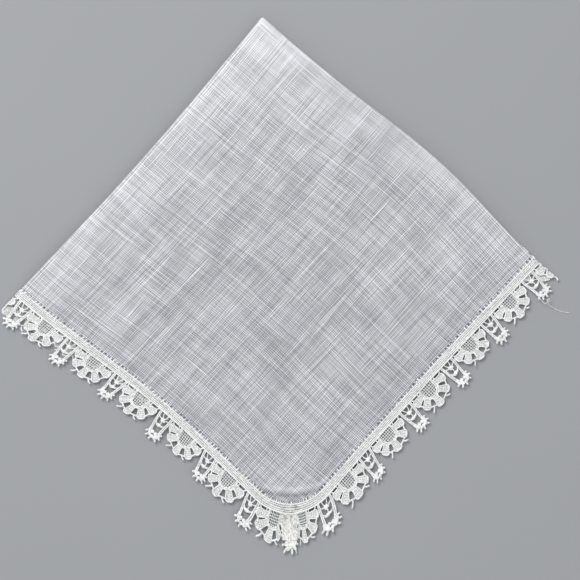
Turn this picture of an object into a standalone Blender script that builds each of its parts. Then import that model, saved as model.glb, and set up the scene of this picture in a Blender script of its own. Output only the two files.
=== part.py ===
"""A linen handkerchief with a lace edging, folded in four and laid flat.

Both pieces are first built flat, as they are cut and sewn, in the sheet's own directions: s across
and t along, with the two creases on s = 0 and t = 0. The sheet is then folded twice, first about
t = 0 and then about s = 0, and laid with its creased corner at the top of the view from above.
Metres, +Z up. The origin is on the surface that it lies on, in the middle of its box.
"""

import math

import bmesh
import bpy
from mathutils import Vector

# The sheet: both pieces have this thickness, and the four folded layers lie a little apart.
THICKNESS = 0.001
LAYER_GAP = 0.00035
SEAM_GAP = 0.0003

# The lace: a repeat is one bell and one fan, and each side of the cloth takes a whole number of them.
REPEAT = 0.0225
REPEATS_PER_SIDE = 12
CORNER_RADIUS = 0.017
# At each corner the strip is gathered: this much of its length is lost to each side of the corner.
EASED_LENGTH = 0.009
EASE_REACH = 0.4
EASE_SHARPNESS = 1.5
# It is also wider where it goes round a corner, with its seam there a little before the corner and the
# bells to each side of it leaning in. The reaches and the place of the lean are in repeats.
CORNER_WIDENING = 0.0052
WIDENING_REACH = 0.9
SEAM_SHIFT = 0.0011
DRAWN_BACK = 0.085
CORNER_LEAN = math.radians(10)
LEAN_PLACE = 0.95
LEAN_REACH = 0.4

SIDE_PATH = REPEATS_PER_SIDE * REPEAT - 2 * EASED_LENGTH
HALF_ARC = math.pi / 4 * CORNER_RADIUS
CLOTH_SIDE = SIDE_PATH - 2 * HALF_ARC + 2 * CORNER_RADIUS
HALF_SIDE = CLOTH_SIDE / 2

# The creases lie off centre, so that the lace of the top layer reaches past the others.
TOP_QUARTER = 0.136
UNDER_QUARTER = CLOTH_SIDE - TOP_QUARTER
CENTRE_OFFSET = TOP_QUARTER - HALF_SIDE

# One repeat of the lace, from before its leaning bell to the end of its fan.
LACE_EDGE = (
    # place on the sewn edge from the bell's middle, the same on the outer edge, depth there
    (-0.0042, -0.0048, 0.0086),
    (-0.0034, -0.0043, 0.0064),
    (-0.0026, -0.0040, 0.0124),
    (-0.0012, -0.0028, 0.0141),
    (0.0004, -0.0010, 0.0145),
    (0.0018, 0.0007, 0.0133),
    (0.0028, 0.0017, 0.0084),
    (0.0037, 0.0032, 0.0060),
    (0.0047, 0.0043, 0.0088),
    (0.0063, 0.0060, 0.0110),
    (0.0086, 0.0084, 0.0122),
    (0.01125, 0.0113, 0.0125),
    (0.0139, 0.0141, 0.0121),
    (0.0162, 0.0164, 0.0107),
)

# Folding: the mean radius of each crease's bend, from the layers that it holds.
PITCH = THICKNESS + LAYER_GAP
INNER_RADIUS = PITCH / 2
OUTER_RADIUS = PITCH
INNER_HALF_BEND = math.pi / 2 * INNER_RADIUS
OUTER_HALF_BEND = math.pi / 2 * OUTER_RADIUS
INNER_AXIS = INNER_RADIUS + THICKNESS / 2
OUTER_AXIS = OUTER_RADIUS + INNER_RADIUS + THICKNESS / 2
STACK_HEIGHT = 2 * OUTER_AXIS
BEND_STEPS = 4
GRID_STEP = 0.016

# How far each layer's two free edges are drawn in at its free corner. They are not drawn in at the
# creases, and reach is the share of the edge over which most of that happens.
LAYER_INSETS = {
    # (s side, t side): (inset of the s edge, its reach, inset of the t edge, its reach)
    (1, 1): (0.0, 1.0, 0.0, 1.0),
    (1, -1): (0.014, 0.12, 0.001, 0.5),
    (-1, -1): (0.003, 0.4, 0.003, 0.5),
    (-1, 1): (0.002, 0.5, 0.019, -1.0),
}

# The folded square's outline seen from above: where the corners of the top layer's cloth lie.
CREASED_CORNER = Vector((-0.00758, 0.10185))
RIGHT_CORNER = Vector((0.0948, 0.0111))
LEFT_CORNER = Vector((-0.0990, -0.0013))
FREE_CORNER = Vector((0.0043, -0.0888))
# Its edges bow a little: the upper right and lower left ones up to the right, the others inwards.
UPPER_RIGHT_BOW = 0.0034
UPPER_RIGHT_PEAK = 1.45
LOWER_LEFT_BOW = 0.0028
UPPER_LEFT_BOW = 0.0017
LOWER_RIGHT_BOW = 0.0009
# The middle of the whole outline's box, lace and all, which becomes the origin.
BOX_MIDDLE = Vector((-0.00131, -0.00008))

# Soft swells of the stack, which grow from nothing at its foot to their full height at its top.
SWELLS = (
    # x, y, spread, height
    (-0.040, 0.035, 0.030, 0.00035),
    (0.035, 0.010, 0.026, 0.00030),
    (0.002, -0.072, 0.014, 0.00045),
)


def clear_scene():
    for obj in list(bpy.data.objects):
        bpy.data.objects.remove(obj)


def new_material(name, colour, roughness):
    material = bpy.data.materials.new(name)
    material.use_nodes = True
    shader = material.node_tree.nodes["Principled BSDF"]
    shader.inputs["Base Color"].default_value = (*colour, 1.0)
    shader.inputs["Roughness"].default_value = roughness
    shader.inputs["Metallic"].default_value = 0.0
    return material


def lace_depth(repeats):
    """How far the lace reaches from the cloth's edge at a place along it."""
    first = LACE_EDGE[0][1]
    place = (repeats * REPEAT - first) % REPEAT + first
    rows = [row[1:] for row in LACE_EDGE] + [(first + REPEAT, LACE_EDGE[0][2])]
    for (low, depth), (high, next_depth) in zip(rows, rows[1:]):
        if place <= high:
            return depth + (next_depth - depth) * (place - low) / (high - low)
    return rows[-1][1]


def eased(repeats):
    """The distance from a corner, along the cloth's edge, that so many repeats of lace take up."""
    gathered = 1 - math.exp(-((abs(repeats) / EASE_REACH) ** EASE_SHARPNESS))
    return REPEAT * repeats - math.copysign(EASED_LENGTH * gathered, repeats)


def smooth_step(value):
    share = min(max(value, 0.0), 1.0)
    return share * share * (3 - 2 * share)


def drawn_back(side, repeats):
    """How far back the lace is pulled towards the free corner on the side after it, in repeats."""
    return DRAWN_BACK * smooth_step(repeats / 0.5) * (1 - smooth_step((repeats - 1.4) / 3.2)) * (side == 1)


def edge_frame(side, repeats):
    """A point of the flat cloth's rounded edge, on one of its sides, and the direction out from it."""
    repeats -= drawn_back(side, repeats)
    near_start = repeats <= REPEATS_PER_SIDE / 2
    to_corner = min(repeats, REPEATS_PER_SIDE - repeats)
    distance = eased(to_corner) + (-SEAM_SHIFT if near_start else SEAM_SHIFT)
    straight = distance - HALF_ARC
    lean = min(0.0, straight) / CORNER_RADIUS
    along = -HALF_SIDE + CORNER_RADIUS + max(0.0, straight) + CORNER_RADIUS * math.sin(lean)
    out = HALF_SIDE - CORNER_RADIUS + CORNER_RADIUS * math.cos(lean)
    point = Vector((along, out))
    lean -= CORNER_LEAN * math.exp(-(((to_corner - LEAN_PLACE) / LEAN_REACH) ** 2))
    outward = Vector((math.sin(lean), math.cos(lean)))
    if not near_start:
        point.x, outward.x = -point.x, -outward.x
    for _ in range(side):
        point = Vector((point.y, -point.x))
        outward = Vector((outward.y, -outward.x))
    return point + Vector((CENTRE_OFFSET, CENTRE_OFFSET)), outward


def corner_widening(repeats):
    to_corner = min(repeats, REPEATS_PER_SIDE - repeats)
    return CORNER_WIDENING * math.exp(-((to_corner / WIDENING_REACH) ** 2))


def bend_lines(half_bend):
    return [half_bend * step / BEND_STEPS for step in range(-BEND_STEPS, BEND_STEPS + 1)]


def cloth_lines(half_bend):
    """Where the cloth's grid is cut in one direction: finely round the crease, and evenly elsewhere."""
    lines = bend_lines(half_bend)
    for extent, sign in ((TOP_QUARTER, 1), (UNDER_QUARTER, -1)):
        corner = extent - CORNER_RADIUS
        count = round((corner - half_bend) / GRID_STEP)
        lines += [sign * (half_bend + (corner - half_bend) * i / count) for i in range(1, count + 1)]
    return sorted(lines)


def grown(share, reach):
    """Goes from 0 to 1 as the share does, and most of the way within the reach."""
    return (1 - math.exp(-share / reach)) / (1 - math.exp(-1 / reach))


def drawn_in(s, t):
    """Moves a point of an under layer towards the creased corner, as far as that layer is drawn in."""
    s_side, t_side = (1 if s >= 0 else -1), (1 if t >= 0 else -1)
    s_extent = TOP_QUARTER if s_side > 0 else UNDER_QUARTER
    t_extent = TOP_QUARTER if t_side > 0 else UNDER_QUARTER
    s_inset, s_reach, t_inset, t_reach = LAYER_INSETS[s_side, t_side]
    s_share, t_share = abs(s) / s_extent, abs(t) / t_extent
    return (
        s * (1 - s_inset / s_extent * grown(t_share, s_reach)),
        t * (1 - t_inset / t_extent * grown(s_share, t_reach)),
    )


def bent(across, height, radius, half_bend, axis):
    """One fold: a point's distance from the folded edge, and its height, from its flat place."""
    turned = radius + height
    if abs(across) <= half_bend:
        angle = across / radius
        return axis - turned * math.cos(angle), turned * math.sin(angle)
    return axis + abs(across) - half_bend, math.copysign(turned, across)


def laid(a, b):
    """The place in the view from above of a point at a and b from the two folded edges."""
    u, v = a / TOP_QUARTER, b / TOP_QUARTER
    along, down = min(max(u, 0.0), 1.0), min(max(v, 0.0), 1.0)
    top_edge = CREASED_CORNER.lerp(RIGHT_CORNER, u)
    bottom_edge = LEFT_CORNER.lerp(FREE_CORNER, u)
    place = top_edge.lerp(bottom_edge, v)
    e = (RIGHT_CORNER - CREASED_CORNER).normalized()
    up_right = Vector((-e.y, e.x))
    upper = UPPER_RIGHT_BOW * math.sin(math.pi * along**UPPER_RIGHT_PEAK) ** 2
    lower = LOWER_LEFT_BOW * math.sin(math.pi * along) ** 2
    place += up_right * (upper * (1 - down) + lower * down)
    inward = UPPER_LEFT_BOW * (1 - along) - LOWER_RIGHT_BOW * along
    return place + e * inward * math.sin(math.pi * down) - BOX_MIDDLE


def swell(place, height):
    rise = sum(
        tall * math.exp(-((place.x - x) ** 2 + (place.y - y) ** 2) / (2 * spread**2))
        for x, y, spread, tall in SWELLS
    )
    return height * (1 + rise / STACK_HEIGHT)


def folded(point):
    """Where a point of the flat sheet goes when it is folded in four and laid down."""
    s, t = drawn_in(point.x, point.y)
    b, height = bent(t, point.z, INNER_RADIUS, INNER_HALF_BEND, INNER_AXIS)
    a, height = bent(s, height, OUTER_RADIUS, OUTER_HALF_BEND, OUTER_AXIS)
    place = laid(a, b)
    return Vector((place.x, place.y, swell(place, height + STACK_HEIGHT / 2)))


def folded_solid(name, flat, material, collection):
    """Gives the flat sheet its thickness, folds it, and makes it the named object."""
    mesh = bpy.data.meshes.new(name + "_flat")
    flat.to_mesh(mesh)
    flat.free()
    sheet = bpy.data.objects.new(name + "_flat", mesh)
    collection.objects.link(sheet)
    solidify = sheet.modifiers.new("thickness", "SOLIDIFY")
    solidify.thickness = THICKNESS
    solidify.offset = 0.0
    graph = bpy.context.evaluated_depsgraph_get()
    body = bpy.data.meshes.new_from_object(sheet.evaluated_get(graph))
    bpy.data.objects.remove(sheet)
    for vertex in body.vertices:
        vertex.co = folded(vertex.co)
    # The view from above has s and t the other way round, so the faces are turned to look out again.
    body.flip_normals()
    body.name = name
    body.materials.clear()
    body.materials.append(material)
    solid = bpy.data.objects.new(name, body)
    collection.objects.link(solid)
    body.shade_smooth()
    body.set_sharp_from_angle(angle=math.radians(40))
    return solid


def lace_columns(side):
    """Where the lace strip is cut across on one side, in repeats from the corner that it starts at.

    Each is a place on the sewn edge and the one of the outer edge that faces it.
    """
    columns = [
        (repeat + sewn / REPEAT, repeat + outer / REPEAT)
        for repeat in range(REPEATS_PER_SIDE)
        for sewn, outer, _ in LACE_EDGE
    ]
    # Sides 0 and 2 cross the crease on s = 0, and sides 1 and 3 the one on t = 0.
    half_bend = INNER_HALF_BEND if side % 2 else OUTER_HALF_BEND
    before = TOP_QUARTER if side in (1, 2) else UNDER_QUARTER
    crease = (before - CORNER_RADIUS + HALF_ARC + SEAM_SHIFT + EASED_LENGTH) / REPEAT
    bends = [crease + line / REPEAT for line in bend_lines(half_bend)]
    clear = half_bend / REPEAT / BEND_STEPS
    low, high = bends[0] - clear, bends[-1] + clear
    columns = [pair for pair in columns if all(not low < place < high for place in pair)]
    return sorted(columns + [(place, place) for place in bends])


def cloth_edge_columns():
    """The places that the cloth's outline goes through: all those in the bends, and every other one."""
    places = []
    for side in range(4):
        columns = lace_columns(side)
        places += [(side, sewn) for i, (sewn, outer) in enumerate(columns) if i % 2 == 0 or sewn == outer]
    return places


def make_cloth(material, collection):
    """The linen square with its rounded corners."""
    flat = bmesh.new()
    edge = [flat.verts.new((*edge_frame(side, repeats)[0], 0.0)) for side, repeats in cloth_edge_columns()]
    flat.faces.new(edge)
    cuts = [(Vector((1, 0, 0)), line) for line in cloth_lines(OUTER_HALF_BEND)]
    cuts += [(Vector((0, 1, 0)), line) for line in cloth_lines(INNER_HALF_BEND)]
    for normal, line in cuts:
        whole = flat.verts[:] + flat.edges[:] + flat.faces[:]
        bmesh.ops.bisect_plane(flat, geom=whole, plane_co=normal * line, plane_no=normal, dist=0.00001)
    return folded_solid("linen_cloth", flat, material, collection)


def make_lace(material, collection):
    """The lace strip: sewn round the cloth's edge, with its scalloped side out and its ends joined."""
    columns = [(side, pair) for side in range(4) for pair in lace_columns(side)]
    columns.append(columns[0])
    flat = bmesh.new()
    bmesh.ops.create_grid(flat, x_segments=len(columns) - 1, y_segments=1, size=1.0)
    for vertex in flat.verts:
        side, (sewn, outer) = columns[round((vertex.co.x + 1) / 2 * (len(columns) - 1))]
        if vertex.co.y < 0:
            point, outward = edge_frame(side, sewn)
            depth = SEAM_GAP
        else:
            point, outward = edge_frame(side, outer)
            depth = lace_depth(outer) + corner_widening(outer)
        place = point + outward * depth
        vertex.co = Vector((place.x, place.y, 0.0))
    bmesh.ops.remove_doubles(flat, verts=flat.verts, dist=0.00002)
    return folded_solid("lace_edging", flat, material, collection)


def main():
    clear_scene()
    collection = bpy.data.collections.new("folded_lace_handkerchief")
    bpy.context.scene.collection.children.link(collection)
    linen = new_material("linen", (0.62, 0.63, 0.65), 0.85)
    lace = new_material("lace", (0.86, 0.86, 0.84), 0.8)
    make_cloth(linen, collection)
    make_lace(lace, collection)


main()
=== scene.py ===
"""The looks of a sheer linen handkerchief with a lace edging, folded in four and laid flat.

The linen is one thin sheet on the folds of its solid. The lace is made of threads: one repeat of it
is drawn flat, set along the cloth's edge again and again, and folded with the cloth. In the flat
sheet, s runs across and t along, with the two creases on s = 0 and t = 0. Metres, +Z up.
"""

import math

import bpy
import numpy as np
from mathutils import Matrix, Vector


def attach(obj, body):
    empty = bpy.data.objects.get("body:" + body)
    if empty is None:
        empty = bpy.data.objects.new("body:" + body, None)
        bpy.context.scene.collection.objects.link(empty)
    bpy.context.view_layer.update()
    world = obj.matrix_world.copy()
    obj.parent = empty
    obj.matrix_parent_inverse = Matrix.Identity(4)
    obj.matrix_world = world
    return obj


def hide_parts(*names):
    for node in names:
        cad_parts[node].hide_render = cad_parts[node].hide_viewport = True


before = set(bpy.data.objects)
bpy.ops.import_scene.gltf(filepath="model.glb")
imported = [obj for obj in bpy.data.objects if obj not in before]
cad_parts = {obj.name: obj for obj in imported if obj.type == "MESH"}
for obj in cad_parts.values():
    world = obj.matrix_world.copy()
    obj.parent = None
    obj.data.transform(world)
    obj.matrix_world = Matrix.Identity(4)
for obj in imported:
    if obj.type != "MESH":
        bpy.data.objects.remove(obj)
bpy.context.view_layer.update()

MM = 0.001

# Seeds of what is uneven, then of how the copies of fans, bells and seams differ.
CORNER_SEED, HEADER_SEED, ZIGZAG_SEED, STITCH_SEED = 31, 11, 12, 23
FAN_COPIES_SEED, BELL_COPIES_SEED, SEAM_COPIES_SEED = 3, 5, 7

# The folded sheet, with the same sizes as its solids.
THICKNESS = 0.001
LAYER_GAP = 0.00035
REPEAT = 0.0225
SIDE_REPEATS = 12
REPEATS = 4 * SIDE_REPEATS
CORNER_RADIUS = 0.017
EASED_LENGTH = 0.009
EASE_REACH = 0.4
EASE_SHARPNESS = 1.5
CORNER_WIDENING = 0.0052
WIDENING_REACH = 0.9
SEAM_SHIFT = 0.0011
CORNER_LEAN = math.radians(10)
LEAN_PLACE = 0.95
LEAN_REACH = 0.4
LACE_DEPTH = 0.0141

# The lace is pulled back past the free corner: how far, and how that grows, holds and fades.
DRAWN_BACK = 0.085
DRAWN_BACK_RISE = 0.5
DRAWN_BACK_HELD = 1.4
DRAWN_BACK_FADE = 3.2

SIDE_PATH = SIDE_REPEATS * REPEAT - 2 * EASED_LENGTH
HALF_ARC = math.pi / 4 * CORNER_RADIUS
CLOTH_SIDE = SIDE_PATH - 2 * HALF_ARC + 2 * CORNER_RADIUS
HALF_SIDE = CLOTH_SIDE / 2
TOP_QUARTER = 0.136
UNDER_QUARTER = CLOTH_SIDE - TOP_QUARTER
CENTRE_OFFSET = TOP_QUARTER - HALF_SIDE

PITCH = THICKNESS + LAYER_GAP
INNER_RADIUS = PITCH / 2
OUTER_RADIUS = PITCH
INNER_AXIS = INNER_RADIUS + THICKNESS / 2
OUTER_AXIS = OUTER_RADIUS + INNER_RADIUS + THICKNESS / 2
STACK_HEIGHT = 2 * OUTER_AXIS

LAYER_INSETS = {
    # (s side, t side): (inset of the s edge, its reach, inset of the t edge, its reach)
    (1, 1): (0.0, 1.0, 0.0, 1.0),
    (1, -1): (0.014, 0.12, 0.001, 0.5),
    (-1, -1): (0.003, 0.4, 0.003, 0.5),
    (-1, 1): (0.002, 0.5, 0.019, -1.0),
}

CREASED_CORNER = np.array((-0.00758, 0.10185))
RIGHT_CORNER = np.array((0.0948, 0.0111))
LEFT_CORNER = np.array((-0.0990, -0.0013))
FREE_CORNER = np.array((0.0043, -0.0888))
UPPER_RIGHT_BOW = 0.0034
UPPER_RIGHT_PEAK = 1.45
LOWER_LEFT_BOW = 0.0028
UPPER_LEFT_BOW = 0.0017
LOWER_RIGHT_BOW = 0.0009
BOX_MIDDLE = np.array((-0.00131, -0.00008))

SWELLS = (
    # x, y, spread, height
    (-0.040, 0.035, 0.030, 0.00035),
    (0.035, 0.010, 0.026, 0.00030),
    (0.002, -0.072, 0.014, 0.00045),
)

# The free edges sink towards the floor: how much, and over which stretch.
SINK = 0.74
SINK_START = -0.013
SINK_END = 0.006
FLOOR_CLEARANCE = 0.00005
FOLD_REACH = 0.006

# The camera, straight above: what it takes in at the height of the top layer, and its middle.
PIXELS = 580
PIXEL_SIZE = 0.000377
VIEW_MIDDLE = (0.00429, -0.00143)
TOP_LAYER_HEIGHT = 0.0048
LENS = 135
SENSOR = 36


def clamped(values):
    return np.clip(values, 0.0, 1.0)


def smooth_step(values):
    share = clamped(values)
    return share * share * (3 - 2 * share)


def eased(repeats):
    """The distance from a corner, along the cloth's edge, that so many repeats of lace take up."""
    gathered = 1 - np.exp(-((np.abs(repeats) / EASE_REACH) ** EASE_SHARPNESS))
    return REPEAT * repeats - np.copysign(EASED_LENGTH * gathered, repeats)


def to_nearest_corner(places):
    """How many repeats a place on the cloth's edge is from the nearest corner."""
    repeats = places % SIDE_REPEATS
    return np.minimum(repeats, SIDE_REPEATS - repeats)


def edge_frame(places):
    """Points of the flat cloth's rounded edge, and the directions out from it.

    A place is counted in repeats all the way round, with the corners at each full side.
    """
    side = np.floor(places / SIDE_REPEATS)
    near_start = places - side * SIDE_REPEATS <= SIDE_REPEATS / 2
    mirror = np.where(near_start, 1.0, -1.0)
    to_corner = to_nearest_corner(places)
    straight = eased(to_corner) - mirror * SEAM_SHIFT - HALF_ARC
    lean = np.minimum(0.0, straight) / CORNER_RADIUS
    along = -HALF_SIDE + CORNER_RADIUS + np.maximum(0.0, straight) + CORNER_RADIUS * np.sin(lean)
    out = HALF_SIDE - CORNER_RADIUS + CORNER_RADIUS * np.cos(lean)
    lean = lean - CORNER_LEAN * np.exp(-(((to_corner - LEAN_PLACE) / LEAN_REACH) ** 2))
    turn = side * math.pi / 2

    def turned(x, y):
        cos, sin = np.cos(turn), np.sin(turn)
        return np.stack([x * cos + y * sin, y * cos - x * sin], -1)

    return turned(mirror * along, out) + CENTRE_OFFSET, turned(mirror * np.sin(lean), np.cos(lean))


def drawn_back(places):
    """How far back the lace is pulled towards the free corner on the side after it, in repeats."""
    past = places % REPEATS - SIDE_REPEATS
    rise = smooth_step(past / DRAWN_BACK_RISE)
    return DRAWN_BACK * rise * (1 - smooth_step((past - DRAWN_BACK_HELD) / DRAWN_BACK_FADE))


def beside_edge(places, depths):
    """Flat points at these depths outside the cloth's edge; the lace is wider at the corners."""
    points, outward = edge_frame(places - drawn_back(places))
    widening = CORNER_WIDENING * np.exp(-((to_nearest_corner(places) / WIDENING_REACH) ** 2))
    return points + outward * (depths * (1 + widening / LACE_DEPTH))[..., None]


def grown(share, reach):
    """Goes from 0 to 1 with the share, fast at first where the reach is small."""
    return (1 - np.exp(-share / reach)) / (1 - math.exp(-1 / reach))


def drawn_in(s, t):
    """Moves the points of the under layers towards the creased corner."""
    new_s, new_t = s.copy(), t.copy()
    for (s_side, t_side), (s_inset, s_reach, t_inset, t_reach) in LAYER_INSETS.items():
        here = ((s >= 0) == (s_side > 0)) & ((t >= 0) == (t_side > 0))
        s_extent = TOP_QUARTER if s_side > 0 else UNDER_QUARTER
        t_extent = TOP_QUARTER if t_side > 0 else UNDER_QUARTER
        s_share, t_share = np.abs(s[here]) / s_extent, np.abs(t[here]) / t_extent
        new_s[here] = s[here] * (1 - s_inset / s_extent * grown(t_share, s_reach))
        new_t[here] = t[here] * (1 - t_inset / t_extent * grown(s_share, t_reach))
    return new_s, new_t


def bent(across, height, radius, axis):
    """One fold: distances from the folded edge, and heights, from the flat places."""
    turned = radius + height
    angle = np.clip(across / radius, -math.pi / 2, math.pi / 2)
    beyond = np.maximum(np.abs(across) - math.pi / 2 * radius, 0.0)
    return axis + beyond - turned * np.cos(angle) * (beyond == 0), turned * np.sin(angle)


def lerp(start, end, share):
    return start + (end - start) * share[..., None]


def laid(a, b):
    """Places in the view from above of points at a and b from the two folded edges."""
    u, v = a / TOP_QUARTER, b / TOP_QUARTER
    along, down = clamped(u), clamped(v)
    top_edge = lerp(CREASED_CORNER, RIGHT_CORNER, u)
    bottom_edge = lerp(LEFT_CORNER, FREE_CORNER, u)
    e = (RIGHT_CORNER - CREASED_CORNER) / np.linalg.norm(RIGHT_CORNER - CREASED_CORNER)
    up_right = np.array((-e[1], e[0]))
    upper = UPPER_RIGHT_BOW * np.sin(math.pi * along**UPPER_RIGHT_PEAK) ** 2
    lower = LOWER_LEFT_BOW * np.sin(math.pi * along) ** 2
    bow = upper * (1 - down) + lower * down
    inward = (UPPER_LEFT_BOW * (1 - along) - LOWER_RIGHT_BOW * along) * np.sin(math.pi * down)
    place = lerp(top_edge, bottom_edge, v) + up_right * bow[..., None] + e * inward[..., None]
    return place - BOX_MIDDLE


# Shallow waves of the whole stack.
RIPPLES = (
    # angle in degrees, wave length, phase, share of the stack's height
    (20, 0.034, 0.4, 0.014),
    (-38, 0.051, 2.1, 0.018),
    (71, 0.027, 4.0, 0.010),
    (-80, 0.043, 1.2, 0.014),
)


def swell(x, y):
    """How much thicker than flat the stack is at each place, as a share of its height."""
    rise = np.zeros_like(x)
    for swell_x, swell_y, spread, tall in SWELLS:
        near = np.exp(-((x - swell_x) ** 2 + (y - swell_y) ** 2) / (2 * spread**2))
        rise += tall * near / STACK_HEIGHT
    for angle, length, phase, share in RIPPLES:
        across = x * math.cos(math.radians(angle)) + y * math.sin(math.radians(angle))
        rise += share * np.sin(across / length * 2 * math.pi + phase)
    return rise


def beyond_top_edge(a, b):
    """How far out from the top layer's rounded edge a place is, negative inside it."""
    corner = TOP_QUARTER - CORNER_RADIUS
    return np.hypot(np.maximum(a - corner, 0.0), np.maximum(b - corner, 0.0)) - CORNER_RADIUS


def folded(s, t, n):
    """Where points of the flat sheet go, n above its middle, once it is folded and laid down."""
    s, t = drawn_in(s, t)
    b, height = bent(t, n, INNER_RADIUS, INNER_AXIS)
    a, height = bent(s, height, OUTER_RADIUS, OUTER_AXIS)
    # The folded edges reach as far out as those of the solid, which is thicker.
    a = a - THICKNESS / 2 * np.exp(-a / FOLD_REACH)
    b = b - THICKNESS / 2 * np.exp(-b / FOLD_REACH)
    _, middle = bent(t, np.zeros_like(n), INNER_RADIUS, INNER_AXIS)
    _, middle = bent(s, middle, OUTER_RADIUS, OUTER_AXIS)
    place = laid(a, b)
    x, y = place[..., 0], place[..., 1]
    sink = SINK * smooth_step((beyond_top_edge(a, b) - SINK_START) / (SINK_END - SINK_START))
    laid_height = (middle + STACK_HEIGHT / 2) * (1 + swell(x, y)) * (1 - sink)
    z = np.maximum(laid_height + height - middle, FLOOR_CLEARANCE)
    return np.stack([x, y, z], -1)


def on_cloth(places, depths, heights):
    """Points at these places along the edge, depths outside it and heights, once it is folded."""
    flat = beside_edge(places, depths)
    return folded(flat[..., 0], flat[..., 1], heights).reshape(-1, 3)


class Shape:
    """Points and faces that are drawn flat: along the edge, out from it, and up."""

    def __init__(self):
        self.points = []
        self.faces = []
        self.count = 0

    def add(self, points, faces):
        self.points.append(np.asarray(points, float).reshape(-1, 3))
        self.faces.extend(tuple(i + self.count for i in face) for face in faces)
        self.count += len(self.points[-1])


def grid_faces(rows, columns, closed=False):
    """The faces of a grid of points, row after row, whose rows are closed rings if asked."""
    wide = columns if closed else columns - 1
    return [
        (i * columns + j, i * columns + (j + 1) % columns, (i + 1) * columns + (j + 1) % columns,
         (i + 1) * columns + j)
        for i in range(rows - 1)
        for j in range(wide)
    ]


def tube_faces(rows, columns):
    """The faces of a row of rings that is closed at both ends."""
    last = columns * (rows - 1)
    ends = [tuple(range(columns))[::-1], tuple(range(last, last + columns))]
    return grid_faces(rows, columns, closed=True) + ends


def ring(sides):
    """Angles all the way round."""
    return np.arange(sides) * 2 * math.pi / sides


def smooth_path(points, steps):
    """A smooth line through the points, with so many steps between each two of them."""
    points = np.asarray(points, float)
    ends = np.concatenate([[2 * points[0] - points[1]], points, [2 * points[-1] - points[-2]]])
    share = np.arange(steps)[:, None] / steps
    path = []
    for before, start, end, after in zip(ends, ends[1:], ends[2:], ends[3:]):
        path.append(
            start
            + share * (end - before) / 2
            + share**2 * (2 * before - 5 * start + 4 * end - after) / 2
            + share**3 * (3 * start - before - 3 * end + after) / 2
        )
    return np.concatenate([*path, points[-1:]])


# A thread's cut end: where its last two rings lie, in radii past the path, and the last's size.
TIP_STEPS = np.array((0.7, 1.0))
TIP_POINT = 0.06


def path_frame(path):
    """The direction of a path at each of its points, and the flat direction across it."""
    way = np.gradient(path, axis=0)
    way /= np.linalg.norm(way, axis=1)[:, None]
    return way, np.stack([-way[:, 1], way[:, 0]], -1)


def thread(shape, path, radius, height, sides=5, end=1.0):
    """A round thread on a path; the height may follow it, and an end below 1 rounds the tip."""
    path = np.asarray(path, float)
    way, across = path_frame(path)
    radii = np.full(len(path), radius)
    heights = np.broadcast_to(height, len(path))
    if end < 1:
        path = np.concatenate([path, path[-1] + way[-1] * radius * TIP_STEPS[:, None]])
        across = np.concatenate([across, across[[-1, -1]]])
        radii = np.concatenate([radii, [radius * end, radius * TIP_POINT]])
        heights = np.concatenate([heights, heights[[-1, -1]]])
    turn = ring(sides)
    up = heights[:, None] + radii[:, None] * np.sin(turn)
    aside = across[:, None, :] * np.cos(turn)[None, :, None] * radii[:, None, None]
    points = np.concatenate([path[:, None, :] + aside, up[..., None]], -1)
    shape.add(points, grid_faces(len(path), sides, closed=True))


# A mound's rings from its underside to its top: how wide each is, and how high.
MOUND_RINGS = ((0.12, -0.5), (1.0, 0.0), (0.86, 0.6), (0.5, 0.93), (0.12, 1.0))
MOUND_SPOKES = 14


def mound(shape, middle, sizes, angle, height, lift, knobs):
    """A small rounded pad, longer one way than the other, with a flatter underside."""
    turn = ring(MOUND_SPOKES)
    rim = 1 + knobs * np.sin(4 * turn + 0.7) + knobs / 2 * np.sin(3 * turn + 1.9)
    rings = []
    for share, rise in MOUND_RINGS:
        x, y = sizes[0] * share * rim * np.cos(turn), sizes[1] * share * rim * np.sin(turn)
        rings.append(np.stack([
            middle[0] + x * math.cos(angle) - y * math.sin(angle),
            middle[1] + x * math.sin(angle) + y * math.cos(angle),
            np.full(MOUND_SPOKES, lift + rise * height),
        ], -1))
    shape.add(np.concatenate(rings), tube_faces(len(rings), MOUND_SPOKES))


# One repeat of the lace, as it is charted: millimetres along the edge and out from it.
HEADER_WIDTH = 3.15
# How far out the fans' threads start, on the header.
LACE_START = 2.9
FAN_MIDDLE = (0.0, 4.60)
NET_ROWS = (3.95, 4.80, 5.65, 6.50, 7.30)
NET_COLUMNS = (-2.12, -1.27, -0.42, 0.42, 1.27, 2.12)
NET_HALF_WIDTH = 2.85
NET_HALF_DEPTH = 3.45
NET_SQUARENESS = 2.3
# How the net's rows sag, and how its columns spread and where they start.
NET_SAG = 0.08
NET_SPREAD = 1.04
NET_START = HEADER_WIDTH - 0.4
# Its two arches: how far apart, their points, and how far their feet stand out.
FRAME_STEP = 0.52
FRAME_POINTS = 19
FOOT_SPREAD = 0.1
PETALS = (
    # angle round the fan's middle in degrees, how much the tip turns from it, where it ends
    (7, 2.0, 7.75),
    (48, 0.0, 7.85),
    (94, 1.0, 7.95),
    (138, 1.0, 7.85),
    (173, -1.0, 7.70),
)
PETAL_START = 3.35
# The half width of a petal at each share of its length.
PETAL_SHARES = (0.0, 0.25, 0.50, 0.72, 0.86, 0.95, 1.0)
PETAL_HALVES = (1.14, 1.10, 1.30, 1.58, 1.60, 1.26, 0.66)
PETAL_STEPS = 12
# The filling's columns and swell, and the threads on it at shares of its half width.
FILLING_COLUMNS = 5
FILLING_SWELL = 0.06
LONG_THREADS = (-0.52, -0.18, 0.18, 0.52)
LONG_THREAD_SWELL = 0.04
# The threads across it: first and last share of its length, how many, their width and rise.
CROSS_THREADS = (0.20, 0.88, 6)
CROSS_THREAD_WIDTH = 0.9
CROSS_THREAD_RISE = 0.05
OUTLINE_WIDTH = 0.88
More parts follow.
